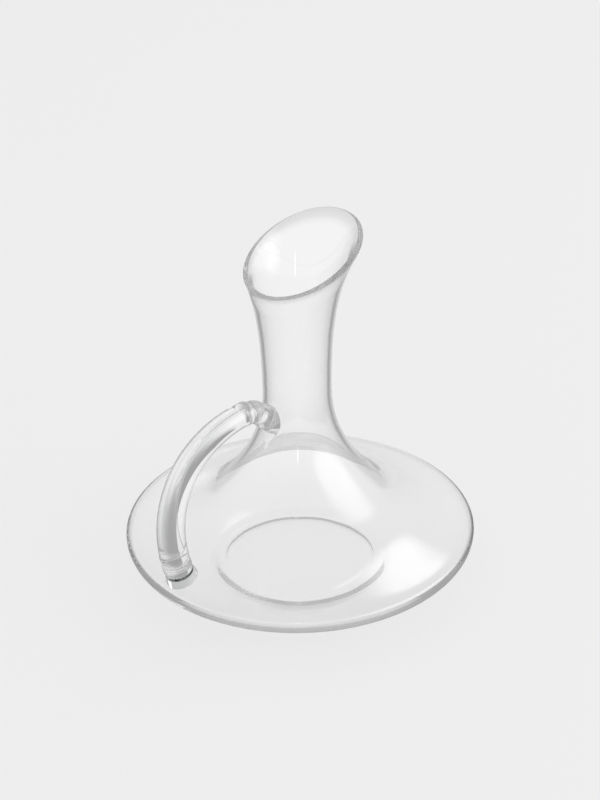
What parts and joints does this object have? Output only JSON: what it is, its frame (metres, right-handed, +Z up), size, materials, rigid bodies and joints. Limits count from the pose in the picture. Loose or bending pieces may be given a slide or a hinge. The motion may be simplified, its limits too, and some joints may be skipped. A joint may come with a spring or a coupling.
{
  "type": "wine decanter",
  "caption": "Clear glass wine decanter: wide flat bowl, waisted neck with a slanted flared lip, and a curved glass rod handle welded to neck and shoulder.",
  "frame": {"origin": "on the table, under the middle of the round base (the vessel's axis at z = 0)", "axes": "+Z up along the vessel's axis; the handle and the low side of the lip point to -X, the high pouring side of the lip to +X; the part is mirror-symmetric about the XZ plane, except that the neck bit's leaf strays up to 1 mm to +Y"},
  "size_m": [0.2186, 0.215, 0.2283],
  "materials": {
    "vessel_glass": "clear blown glass, fire-polished",
    "handle_glass": "clear solid glass rod",
    "neck_bit_glass": "clear glass, worked hot and drawn to a tip",
    "shoulder_bit_glass": "clear glass with a faint green cast where it is thick"
  },
  "bodies": {
    "root": {"vessel": "vessel_glass", "handle": "handle_glass", "neck_bit": "neck_bit_glass", "shoulder_bit": "shoulder_bit_glass"}
  },
  "joints": []
}
